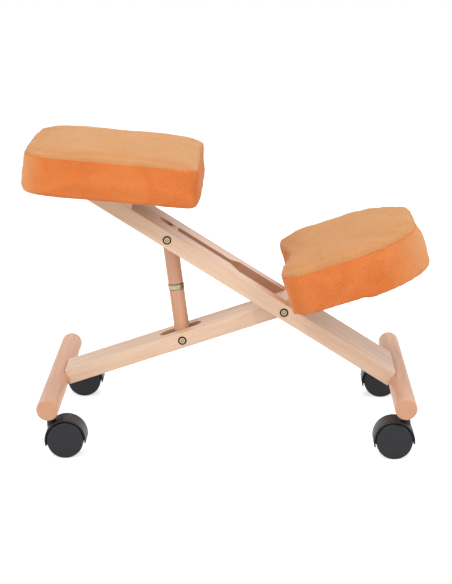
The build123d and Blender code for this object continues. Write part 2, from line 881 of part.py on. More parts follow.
with BuildPart() as adjuster_screw:
    rod(ring_middle.offset(-ring_height / 2 - screw_reach), screw_diameter, ring_height + 2 * screw_reach)
keep(adjuster_screw, "adjuster_screw")
with BuildPart() as adjuster_ring:
    rod(ring_middle.offset(-ring_height / 2), ring_diameter, ring_height)
    for side in (-1, 1):
        groove = ring_middle.offset(side * ring_height / 4 - ring_groove_width / 2)
        with BuildSketch(groove):
            Circle(ring_diameter)
            Circle(ring_diameter / 2 - ring_groove_depth, mode=Mode.SUBTRACT)
        extrude(amount=ring_groove_width, mode=Mode.SUBTRACT)
    drill(ring_middle.offset(-ring_height), screw_diameter, 2 * ring_height)
keep(adjuster_ring, "adjuster_ring")
with BuildPart() as adjuster_washers:
    for start in (-ring_height / 2 - ring_washer_thickness, ring_height / 2):
        face = ring_middle.offset(start)
        rod(face, dowel_diameter, ring_washer_thickness)
        drill(face, screw_diameter + 2 * running_clearance, ring_washer_thickness)
keep(adjuster_washers, "adjuster_washers")

# Seat pad: board on the wedge and the bevel, foam core, plush cover with its rim below the board
seat_core = (seat_length - 2 * seat_cover_wall, seat_width - 2 * seat_cover_wall, 0)
seat_board = make_core(seat_pad_plane, rim_hang, board_top, seat_core)
with seat_board:
    drill_tee_nuts(seat_tee_planes)
keep(seat_board, "seat_board")
keep(make_core(seat_pad_plane, board_top, foam_top, seat_core), "seat_foam")
seat_cover = make_cover(
    seat_pad_plane, seat_length, seat_width, seat_corner, seat_corner, 0, seat_core
)
keep(seat_cover, "seat_cover")
keep(make_board_bolts(seat_bolt_planes, seat_bolt_lengths), "seat_bolts")
keep(make_tee_nuts(seat_tee_planes), "seat_tee_nuts")

# Knee pad: the same make-up, lying along the knee beam, with a notch towards the seat
knee_core = (
    knee_length - knee_notch_depth - 2 * knee_board_margin,
    knee_width - 4 * knee_board_margin,
    knee_notch_depth / 2,
)
knee_board = make_core(knee_pad_plane, rim_hang, board_top, knee_core)
with knee_board:
    drill_tee_nuts(knee_tee_planes)
keep(knee_board, "knee_board")
keep(make_core(knee_pad_plane, board_top, foam_top, knee_core), "knee_foam")
knee_cover = make_cover(
    knee_pad_plane,
    knee_length,
    knee_width,
    knee_rear_corner,
    knee_front_corner,
    knee_notch_depth,
    knee_core,
)
with knee_cover:
    with Locations(knee_plane.offset(knee_top + rim_beam_play)):
        Box(
            2 * tongue_reach,
            tongue_width + 2 * rim_beam_play,
            knee_beam_thickness,
            align=(Align.CENTER, Align.CENTER, Align.MAX),
            mode=Mode.SUBTRACT,
        )
keep(knee_cover, "knee_cover")
keep(make_board_bolts(knee_bolt_planes, [knee_bolt_length] * len(knee_bolt_planes)), "knee_bolts")
keep(make_tee_nuts(knee_tee_planes), "knee_tee_nuts")
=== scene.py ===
"""Looks of a wooden kneeling chair: beech frame, plush pads, plated fittings and black casters."""

import logging
import math
from dataclasses import dataclass, replace
from enum import Enum

import bmesh
import bpy
from mathutils import Matrix, Vector, noise
from mathutils.bvhtree import BVHTree


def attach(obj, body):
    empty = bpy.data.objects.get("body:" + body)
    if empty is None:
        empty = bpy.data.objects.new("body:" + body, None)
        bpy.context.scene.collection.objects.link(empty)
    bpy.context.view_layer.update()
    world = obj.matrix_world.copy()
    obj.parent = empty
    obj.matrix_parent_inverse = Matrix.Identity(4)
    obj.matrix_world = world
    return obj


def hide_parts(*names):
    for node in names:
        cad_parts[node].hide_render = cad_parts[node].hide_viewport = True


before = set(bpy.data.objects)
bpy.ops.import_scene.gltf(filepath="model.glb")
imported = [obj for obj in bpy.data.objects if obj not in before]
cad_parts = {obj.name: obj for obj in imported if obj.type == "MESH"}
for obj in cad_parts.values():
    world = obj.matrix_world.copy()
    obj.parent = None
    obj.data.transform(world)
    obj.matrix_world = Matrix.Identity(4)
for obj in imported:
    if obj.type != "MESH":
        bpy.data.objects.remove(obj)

LOG = logging.getLogger("kneeling_chair")
Colour = tuple[float, float, float, float]
Point = tuple[float, float, float]
Span = tuple[float, float]
Layers = tuple[bpy.types.NodeSocket, bpy.types.NodeSocket | float, bpy.types.NodeSocket]

# Lengths are in metres and slopes in degrees. +X points from the seat to the knee pad, +Z up.
MM = 0.001
KNEE_SLOPE = 18.3
SEAT_SLOPE = 32.2
SEAT_TILT = 5.0
PIVOT: Point = (94.585 * MM, 0.0, 213.043 * MM)
STRUT_TOP: Point = (-101.731 * MM, 0.0, 336.671 * MM)
STRUT_FOOT: Point = (-78.210 * MM, 0.0, 155.897 * MM)
KNEE_PAD_REACH = 138.5 * MM
KNEE_PAD_RISE = 6.2 * MM
# Half widths of the slots along the middle of the beams; their walls get painted shade
SLOT_HALF_WIDTHS = {"seat_beam": 39.0 * MM, "knee_beam": 15.0 * MM}
FORWARD: Point = (1.0, 0.0, 0.0)
ACROSS: Point = (0.0, 1.0, 0.0)
WHITE: Colour = (1.0, 1.0, 1.0, 1.0)

# The side of a pad cover, as inset and height in mm: the tuck under the board, the rim that hangs
# round the board's edge, and the band up to the top panel
TUCK: Span = (17.6, 8.0)
RIM: tuple[Span, ...] = ((17.4, 1.0), (14.5, -1.0), (9.0, -1.6), (3.2, -0.6), (0.6, 3.6))
LOW_BAND: tuple[Span, ...] = ((0.0, 11.0), (0.2, 20.0), (0.6, 30.0), (0.8, 37.0))
HIGH_BAND: tuple[Span, ...] = ((0.6, 45.0), (0.2, 55.0), (0.0, 61.0), (0.6, 65.6))
# How far each ring of the top panel lies on the way to its middle
TOP_SHARES = (0.05, 0.12, 0.22, 0.34, 0.48, 0.62, 0.76, 0.88)
# Settings of the cloth that a cover is while its filling swells it
CLOTH = {
    "quality": 5,
    "mass": 0.3,
    "tension_stiffness": 12.0,
    "compression_stiffness": 12.0,
    "bending_stiffness": 2.0,
    "use_pressure": True,
    "uniform_pressure_force": 4.0,
}


class Panel(Enum):
    """The two panels of a plush cover: the top, painted paler as sheen, and the band."""

    TOP = "top"
    BAND = "band"


def linear(red: int, green: int, blue: int) -> Colour:
    """Turn a colour as it is seen on a screen into the linear colour that a shader takes.

    Args:
        red: Red from 0 to 255.
        green: Green from 0 to 255.
        blue: Blue from 0 to 255.

    Returns:
        The linear colour with full alpha.
    """
    parts = []
    for value in (red, green, blue):
        share = value / 255
        parts.append(share / 12.92 if share <= 0.04045 else ((share + 0.055) / 1.055) ** 2.4)
    return (parts[0], parts[1], parts[2], 1.0)


def unit(value: float) -> float:
    """Hold a value between 0 and 1."""
    return min(1.0, max(0.0, value))


class NodeSketch:
    """A small helper that adds and joins shader nodes in one tree."""

    def __init__(self, tree: bpy.types.NodeTree) -> None:
        """Keep the tree that the nodes go into."""
        self.tree = tree

    def feed(self, node: bpy.types.Node, values: dict) -> None:
        """Fill input sockets of a node.

        Args:
            node: The node.
            values: Values by socket name or number. A socket of another node is linked.
        """
        for key, value in values.items():
            if isinstance(value, bpy.types.NodeSocket):
                self.tree.links.new(value, node.inputs[key])
            else:
                node.inputs[key].default_value = value

    def add(self, kind: str, values: dict | None = None, **settings: object) -> bpy.types.Node:
        """Add a node.

        Args:
            kind: The node's type name.
            values: What its input sockets are fed.
            settings: Attributes of the node itself.

        Returns:
            The new node.
        """
        node = self.tree.nodes.new(kind)
        for key, value in settings.items():
            setattr(node, key, value)
        self.feed(node, values or {})
        return node

    def math(self, operation: str, first: object, second: object = 0.0) -> bpy.types.NodeSocket:
        """Add a maths node and give back its result."""
        return self.add("ShaderNodeMath", {0: first, 1: second}, operation=operation).outputs[0]

    def vector(self, operation: str, first: object, second: object = (0.0, 0.0, 0.0)) -> bpy.types.Node:
        """Add a vector maths node."""
        return self.add("ShaderNodeVectorMath", {0: first, 1: second}, operation=operation)

    def dot(self, first: object, second: object) -> bpy.types.NodeSocket:
        """Multiply two vectors into a number and give it back."""
        return self.vector("DOT_PRODUCT", first, second).outputs["Value"]

    def mix(self, share: object, first: object, second: object) -> bpy.types.NodeSocket:
        """Mix two colours by a share and give back the result."""
        return self.add("ShaderNodeMix", {0: share, 6: first, 7: second}, data_type="RGBA").outputs[2]

    def spread(self, value: object, source: Span, target: Span = (0.0, 1.0)) -> bpy.types.NodeSocket:
        """Map a value from one span to another, held at both ends."""
        values = {0: value, 1: source[0], 2: source[1], 3: target[0], 4: target[1]}
        return self.add("ShaderNodeMapRange", values, clamp=True).outputs[0]

    def stretched(self, place: object, scale: Point) -> bpy.types.NodeSocket:
        """Scale a place along each axis and give it back."""
        return self.add("ShaderNodeMapping", {"Vector": place, "Scale": scale}).outputs[0]

    def noise(
        self, place: object, scale: object, detail: float, roughness: float = 0.5, distortion: float = 0.0
    ) -> bpy.types.NodeSocket:
        """Add a noise texture and give back its value."""
        values = {"Vector": place, "Scale": scale, "Detail": detail, "Roughness": roughness}
        return self.add("ShaderNodeTexNoise", values | {"Distortion": distortion}).outputs["Fac"]


class MaterialSketch(NodeSketch):
    """The nodes of a new material, with its shader and the place and normal on the piece."""

    def __init__(self, name: str) -> None:
        """Make the material and keep what the finishes need of it."""
        self.material = bpy.data.materials.new(name)
        self.material.use_nodes = True
        super().__init__(self.material.node_tree)
        self.shader = self.tree.nodes["Principled BSDF"]
        coords = self.add("ShaderNodeTexCoord").outputs
        self.place = coords["Object"]
        self.normal = coords["Normal"]


def new_group(
    name: str, colours: tuple[str, str], number: str, outputs: tuple[str, ...]
) -> tuple[NodeSketch, bpy.types.Node, bpy.types.Node]:
    """Start a shader node group that takes a place and gives a colour.

    Args:
        name: The group's name.
        colours: Names of the two colours that it takes.
        number: Name of the number that it takes.
        outputs: Names of the numbers that it gives.

    Returns:
        The sketch of the group's tree, its input node and its output node.
    """
    tree = bpy.data.node_groups.new(name, "ShaderNodeTree")
    sockets = [("Place", "INPUT", "Vector"), (number, "INPUT", "Float"), ("Color", "OUTPUT", "Color")]
    sockets += [(colour, "INPUT", "Color") for colour in colours]
    sockets += [(output, "OUTPUT", "Float") for output in outputs]
    for socket, side, kind in sockets:
        tree.interface.new_socket(socket, in_out=side, socket_type=f"NodeSocket{kind}")
    sketch = NodeSketch(tree)
    return sketch, sketch.add("NodeGroupInput"), sketch.add("NodeGroupOutput")


@dataclass(frozen=True)
class WoodGrain:
    """Beech: long soft streaks, fine fibres and short dark ray flecks."""

    streak_stretch: Point = (1.6, 26.0, 26.0)
    streak_ends: Span = (0.32, 0.68)
    streak_share: float = 0.6
    fibre_stretch: Point = (10.0, 210.0, 210.0)
    fibre_ends: Span = (0.3, 0.7)
    fibre_share: float = 0.35
    fleck_stretch: Point = (150.0, 700.0, 700.0)
    fleck_ends: Span = (0.12, 0.3)

    def group(self) -> bpy.types.NodeTree:
        """Build the node group.

        Returns:
            A tree that gives the colour, the height of the fibres and the tone of the streaks.
        """
        sketch, source, result = new_group("wood_grain", ("Light", "Dark"), "Fleck", ("Height", "Tone"))
        given = source.outputs
        streak_place = sketch.stretched(given["Place"], self.streak_stretch)
        streaks = sketch.noise(streak_place, scale=3.4, detail=5.0, roughness=0.6, distortion=0.6)
        fibre_place = sketch.stretched(given["Place"], self.fibre_stretch)
        fibres = sketch.noise(fibre_place, scale=4.0, detail=3.0, roughness=0.55)
        fleck_place = sketch.stretched(given["Place"], self.fleck_stretch)
        cells = sketch.add(
            "ShaderNodeTexVoronoi", {"Vector": fleck_place, "Scale": 1.0, "Randomness": 1.0}
        )
        flecks = sketch.spread(cells.outputs["Distance"], self.fleck_ends, (1.0, 0.0))
        tone = sketch.spread(streaks, self.streak_ends)
        fibre_tone = sketch.spread(fibres, self.fibre_ends, (0.0, self.fibre_share))
        share = sketch.math("ADD", sketch.math("MULTIPLY", tone, self.streak_share), fibre_tone)
        body = sketch.mix(share, given["Light"], given["Dark"])
        fleck_share = sketch.math("MULTIPLY", flecks, given["Fleck"])
        colour = sketch.mix(fleck_share, body, given["Dark"])
        sketch.feed(result, {"Color": colour, "Height": fibres, "Tone": tone})
        return sketch.tree


@dataclass(frozen=True)
class FineMottle:
    """A fine grain and a slow blotch, for moulded plastic, plating and raw board."""

    blotch_scale: float = 38.0
    blotch_ends: Span = (0.35, 0.68)

    def group(self) -> bpy.types.NodeTree:
        """Build the node group.

        Returns:
            A tree that gives the colour, the height of the grain and the blotches.
        """
        outputs = ("Height", "Blotch")
        sketch, source, result = new_group("fine_mottle", ("Light", "Dark"), "Grain", outputs)
        given = source.outputs
        fine = sketch.noise(given["Place"], given["Grain"], detail=2.0)
        slow = sketch.noise(given["Place"], self.blotch_scale, detail=4.0)
        blotch = sketch.spread(slow, self.blotch_ends)
        share = sketch.math("MULTIPLY", sketch.math("ADD", blotch, fine), 0.5)
        colour = sketch.mix(share, given["Dark"], given["Light"])
        sketch.feed(result, {"Color": colour, "Height": fine, "Blotch": blotch})
        return sketch.tree


@dataclass(frozen=True)
class PlushPile:
    """Short brush-finished pile: a fine diagonal rib, tufts, and patches where the nap lies over."""

    row_step: float = 4.8 * MM
    row_wander: float = 4.0 * MM
    row_share: float = 0.8
    break_rate: float = 0.9
    break_share: float = 0.2
    rib_share: float = 0.6
    tuft_scale: float = 640.0
    tuft_ends: Span = (0.36, 0.68)
    tuft_share: float = 0.4
    nap_scale: float = 17.0
    nap_ends: Span = (0.36, 0.66)
    nap_share: float = 0.25

    def group(self) -> bpy.types.NodeTree:
        """Build the node group.

        Returns:
            A tree that gives the colour and the height of the pile.
        """
        sketch, source, result = new_group("plush_pile", ("Base", "Pale"), "Rib", ("Height",))
        given = source.outputs
        place = given["Place"]
        across_rows = sketch.dot(place, (1.0, 0.0, 1.0))
        along_rows = sketch.dot(place, (1.0, 0.0, -1.0))
        wander = sketch.noise(place, scale=90.0, detail=2.0)
        wandering = sketch.math("ADD", across_rows, sketch.math("MULTIPLY", wander, self.row_wander))
        turns = 2 * math.pi / self.row_step
        rows = sketch.math("SINE", sketch.math("MULTIPLY", wandering, turns))
        breaks = sketch.math("SINE", sketch.math("MULTIPLY", along_rows, self.break_rate * turns))
        row_part = sketch.math("MULTIPLY", rows, self.row_share)
        break_part = sketch.math("MULTIPLY", breaks, self.break_share)
        ribs = sketch.spread(sketch.math("ADD", row_part, break_part), (-1.0, 1.0))
        rib_part = sketch.math("MULTIPLY", sketch.math("MULTIPLY", ribs, given["Rib"]), self.rib_share)
        tufts = sketch.noise(place, self.tuft_scale, detail=2.0, roughness=0.6)
        tuft_part = sketch.spread(tufts, self.tuft_ends, (0.0, self.tuft_share))
        nap = sketch.noise(place, self.nap_scale, detail=4.0, roughness=0.55, distortion=0.8)
        nap_part = sketch.spread(nap, self.nap_ends, (0.0, self.nap_share))
        share = sketch.math("ADD", sketch.math("ADD", nap_part, tuft_part), rib_part)
        colour = sketch.mix(share, given["Base"], given["Pale"])
        height = sketch.math("ADD", rib_part, tufts)
        sketch.feed(result, {"Color": colour, "Height": height})
        return sketch.tree


class Effects:
    """The shared effects, each built once as a node group."""

    def __init__(self) -> None:
        """Build every group."""
        self.grain = WoodGrain().group()
        self.mottle = FineMottle().group()
        self.pile = PlushPile().group()


@dataclass(frozen=True)
class Finish:
    """What every finish shares: a name, a roughness range, a bump depth in metres and a gloss."""

    name: str
    roughness: Span = (0.4, 0.6)
    bump: float = 0.2 * MM
    specular: float = 0.5

    def make(self, effects: Effects) -> bpy.types.Material:
        """Build the material.

        Args:
            effects: The shared node groups.

        Returns:
            The finished material.
        """
        sketch = MaterialSketch(self.name)
        colour, rough, height = self.layers(sketch, effects)
        bump = sketch.add("ShaderNodeBump", {"Height": height, "Distance": self.bump, "Strength": 1.0})
        sketch.feed(sketch.shader, {"Base Color": colour, "Roughness": rough, "Normal": bump.outputs[0]})
        sketch.feed(sketch.shader, {"Specular IOR Level": self.specular} | self.constants())
        return sketch.material

    def layers(self, sketch: MaterialSketch, effects: Effects) -> Layers:
        """Give the colour, the roughness and the height, each finish in its own way."""
        raise NotImplementedError

    def constants(self) -> dict[str, object]:
        """The other shader sockets that have one value all over."""
        return {}


@dataclass(frozen=True)
class BeechFinish(Finish):
    """Satin varnished beech with its grain along one direction, darker end grain and painted shade on the
    walls of a slot.
    """

    along: Point = FORWARD
    light: Colour = linear(231, 203, 177)
    dark: Colour = linear(212, 174, 143)
    fleck: float = 0.25
    end_grain: Colour = linear(196, 142, 110)
    end_facing: Span = (0.75, 0.95)
    end_share: float = 0.75
    # Painted shade: the slot walls take this darker colour where the slot's shadow falls
    slot_painted_shade: Colour = linear(176, 126, 96)
    slot_half_width: float = 0.0
    slot_blend: float = 2.0 * MM
    wall_facing: Span = (0.3, 0.7)
    wall_shade_share: float = 0.85

    def layers(self, sketch: MaterialSketch, effects: Effects) -> Layers:
        """Lay the grain along the piece, with darker end grain and painted shade on the slot walls.

        Args:
            sketch: The nodes of the material.
            effects: The shared node groups.

        Returns:
            The colour, the roughness and the height.
        """
        turn = Vector(FORWARD).rotation_difference(Vector(self.along)).inverted().to_euler()
        place = sketch.add("ShaderNodeMapping", {"Vector": sketch.place, "Rotation": turn}).outputs[0]
        values = {"Place": place, "Light": self.light, "Dark": self.dark, "Fleck": self.fleck}
        grain = sketch.add("ShaderNodeGroup", values, node_tree=effects.grain).outputs
        facing = sketch.dot(sketch.normal, Vector(self.along).normalized())
        is_end = sketch.spread(sketch.math("ABSOLUTE", facing), self.end_facing, (0.0, self.end_share))
        colour = sketch.mix(is_end, grain["Color"], self.end_grain)
        # Painted shade on the inner walls of the slot
        if self.slot_half_width:
            colour = self.paint_slot_shade(sketch, colour)
        return colour, sketch.spread(grain["Tone"], (0.0, 1.0), self.roughness), grain["Height"]

    def paint_slot_shade(self, sketch: MaterialSketch, colour: bpy.types.NodeSocket) -> bpy.types.NodeSocket:
        """Paint shade on the walls of a slot that runs along the middle of the piece, where the slot's
        shadow falls.

        Args:
            sketch: The nodes of the material.
            colour: The colour of the outer faces.

        Returns:
            The colour with painted shade on the walls.
        """
        off_middle = sketch.math("ABSOLUTE", sketch.dot(sketch.place, ACROSS))
        slot_edge = (self.slot_half_width, self.slot_half_width + self.slot_blend)
        inside = sketch.spread(off_middle, slot_edge, (1.0, 0.0))
        facing = sketch.math("ABSOLUTE", sketch.dot(sketch.normal, ACROSS))
        wall_shade = sketch.spread(facing, self.wall_facing, (0.0, self.wall_shade_share))
        return sketch.mix(sketch.math("MULTIPLY", inside, wall_shade), colour, self.slot_painted_shade)


@dataclass(frozen=True)
class MottledFinish(Finish):
    """Moulded plastic, plated metal or raw board: a fine grain with slow blotches."""

    light: Colour = (0.5, 0.5, 0.5, 1.0)
    dark: Colour = (0.3, 0.3, 0.3, 1.0)
    grain: float = 1400.0
    metallic: float = 0.0
    stretch: Point = (1.0, 1.0, 1.0)

    def layers(self, sketch: MaterialSketch, effects: Effects) -> Layers:
        """Lay the mottle, stretched along the piece's axes.

        Args:
            sketch: The nodes of the material.
            effects: The shared node groups.

        Returns:
            The colour, the roughness and the height.
        """
        place = sketch.stretched(sketch.place, self.stretch)
        values = {"Place": place, "Light": self.light, "Dark": self.dark, "Grain": self.grain}
        mottle = sketch.add("ShaderNodeGroup", values, node_tree=effects.mottle).outputs
        rough = sketch.spread(mottle["Blotch"], (0.0, 1.0), self.roughness)
        return mottle["Color"], rough, mottle["Height"]

    def constants(self) -> dict[str, object]:
        """Tell metal from the rest."""
        return {"Metallic": self.metallic}


@dataclass(frozen=True)
class BoltFinish(MottledFinish):
    """A plated connector bolt with painted shadow round its rim, where the counterbore gap lies, and
    painted shade round its socket, bright between.
    """

    axis_point: Point = (0.0, 0.0, 0.0)
    # Painted shadow round the rim and painted shade round the hex socket: where they fall and how dark
    rim: Span = (4.4 * MM, 4.9 * MM)
    socket_edge: float = 2.5 * MM
    socket_blend: Span = (0.3 * MM, 0.8 * MM)
    socket_shade_share: float = 0.7
    bolt_painted_shade: Colour = linear(36, 26, 14)

    def layers(self, sketch: MaterialSketch, effects: Effects) -> Layers:
        """Paint shade over the mottled colour: shadow on the rim, where the counterbore gap lies, and
        shade round the socket.

        Args:
            sketch: The nodes of the material.
            effects: The shared node groups.

        Returns:
            The colour, the roughness and the height.
        """
        colour, rough, height = super().layers(sketch, effects)
        # Painted shadow on the rim and painted shade round the socket, measured out from the bolt's axis
        offset = sketch.vector("SUBTRACT", sketch.place, self.axis_point).outputs[0]
        flat = sketch.vector("MULTIPLY", offset, (1.0, 0.0, 1.0)).outputs[0]
        reach = sketch.vector("LENGTH", flat).outputs["Value"]
        rim_shadow = sketch.spread(reach, self.rim)
        off_socket = sketch.math("ABSOLUTE", sketch.math("SUBTRACT", reach, self.socket_edge))
        socket_shade = sketch.spread(off_socket, self.socket_blend, (self.socket_shade_share, 0.0))
        painted_shade_share = sketch.math("MAXIMUM", rim_shadow, socket_shade)
        return sketch.mix(painted_shade_share, colour, self.bolt_painted_shade), rough, height


@dataclass(frozen=True)
class PlushFinish(Finish):
    """Brush-finished orange plush with painted sheen: the top panel is painted paler than the band below
    the seam, and the band paler towards the pad's outer end.
    """

    specular: float = 0.1
    origin: Point = (0.0, 0.0, 0.0)
    pitch: float = 0.0
    seam_height: float = 67.0 * MM
    seam_blend: Span = (-2.6 * MM, -0.4 * MM)
    seam_lift: float = 1.2 * MM
    band_base: Colour = linear(198, 92, 34)
    band_pale: Colour = linear(225, 136, 76)
    band_rib: float = 0.75
    # Painted sheen: these top panel colours are paler than the band's
    top_sheen_base: Colour = linear(188, 128, 77)
    top_sheen_pale: Colour = linear(208, 152, 105)
    top_rib: float = 0.15
    # Painted sheen: the band pales to the end colour at the pad's outer end, where the cover turns away
    painted_sheen_end: float = 1.0
    end_painted_sheen: Colour = linear(226, 158, 102)
    end_facing: Span = (0.3, 0.95)
    end_share: float = 0.8
    sheen: float = 0.5
    sheen_roughness: float = 0.45
    sheen_tint: Colour = linear(240, 206, 164)

    def layers(self, sketch: MaterialSketch, effects: Effects) -> Layers:
        """Lay the pile of both panels, with painted sheen: the top panel paler than the band, and the
        band paled towards the pad's outer end.

        Args:
            sketch: The nodes of the material.
            effects: The shared node groups.

        Returns:
            The colour, the roughness and the height.
        """
        piles = {}
        for panel, base, pale, rib in (
            (Panel.TOP, self.top_sheen_base, self.top_sheen_pale, self.top_rib),
            (Panel.BAND, self.band_base, self.band_pale, self.band_rib),
        ):
            values = {"Place": sketch.place, "Base": base, "Pale": pale, "Rib": rib}
            piles[panel] = sketch.add("ShaderNodeGroup", values, node_tree=effects.pile).outputs
        # Painted sheen at the pad's outer end: the band is mixed towards a paler colour by how far its
        # normal faces that end
        facing = sketch.dot(sketch.normal, (self.painted_sheen_end, 0.0, 0.0))
        end_sheen_share = sketch.spread(facing, self.end_facing, (0.0, self.end_share))
        band = sketch.mix(end_sheen_share, piles[Panel.BAND]["Color"], self.end_painted_sheen)
        # Above the seam the top panel takes its paler painted-sheen colours
        colour = sketch.mix(self.above_seam(sketch), band, piles[Panel.TOP]["Color"])
        return colour, self.roughness[1], piles[Panel.BAND]["Height"]

    def above_seam(self, sketch: MaterialSketch) -> bpy.types.NodeSocket:
        """Tell the top panel from the band, with a ragged edge.

        Args:
            sketch: The nodes of the material.

        Returns:
            A share of 1 above the seam and 0 below it.
        """
        up = (math.sin(self.pitch), 0.0, math.cos(self.pitch))
        offset = sketch.vector("SUBTRACT", sketch.place, self.origin).outputs[0]
        rise = sketch.dot(offset, up)
        ragged = sketch.noise(sketch.place, scale=70.0, detail=3.0)
        lift = sketch.spread(ragged, (0.3, 0.7), (-self.seam_lift, self.seam_lift))
        edge = (self.seam_height + self.seam_blend[0], self.seam_height + self.seam_blend[1])
        return sketch.spread(sketch.math("ADD", rise, lift), edge)

    def constants(self) -> dict[str, object]:
        """Give the pile its sheen."""
        sheen = {"Sheen Weight": self.sheen, "Sheen Roughness": self.sheen_roughness}
        return sheen | {"Sheen Tint": self.sheen_tint}


def bridge(
    shape: bmesh.types.BMesh, first: list[bmesh.types.BMVert], second: list[bmesh.types.BMVert]
) -> None:
    """Join two closed rings of as many points by a band of faces."""
    for index in range(len(first)):
        after = (index + 1) % len(first)
        shape.faces.new((first[index], first[after], second[after], second[index]))


def add_piece(name: str, shape: bmesh.types.BMesh) -> bpy.types.Object:
    """Turn a closed shape into an object of the scene.

    Args:
        name: The name of the object and of its mesh.
        shape: The shape, which is freed.

    Returns:
        The new object.
    """
    bmesh.ops.recalc_face_normals(shape, faces=shape.faces)
    mesh = bpy.data.meshes.new(name)
    shape.to_mesh(mesh)
    shape.free()
    piece = bpy.data.objects.new(name, mesh)
    bpy.context.scene.collection.objects.link(piece)
    return piece


@dataclass(frozen=True)
class Pucker:
    """How sewn and stapled plush draws up, most along its seam and round its rim."""

    depth: float = 1.1 * MM
    lowest: float = 1.0 * MM
    coarse_wave: float = 32.0
    fine_wave: float = 71.0
    fine_share: float = 0.5
    all_over: float = 0.35
    at_seam: float = 0.5
    seam_reach: float = 9.0 * MM
    at_rim: float = 1.6
    rim_height: float = 8.0 * MM
    rim_reach: float = 10.0 * MM

    def push(self, place: Vector, height: float, seam_height: float) -> float:
        """How far the cover is pushed out at a place.

        Args:
            place: The place on the chair.
            height: Its height above the rim's plane.
            seam_height: The height of the seam.

        Returns:
            The push in metres, which is negative where the cover is drawn in.
        """
        if height < self.lowest:
            return 0.0
        by_seam = math.exp(-(((height - seam_height) / self.seam_reach) ** 2))
        by_rim = math.exp(-(((height - self.rim_height) / self.rim_reach) ** 2))
        fine = self.fine_share * noise.noise(place * self.fine_wave)
        wave = noise.noise(place * self.coarse_wave) + fine
        return wave * self.depth * (self.all_over + self.at_seam * by_seam + self.at_rim * by_rim)


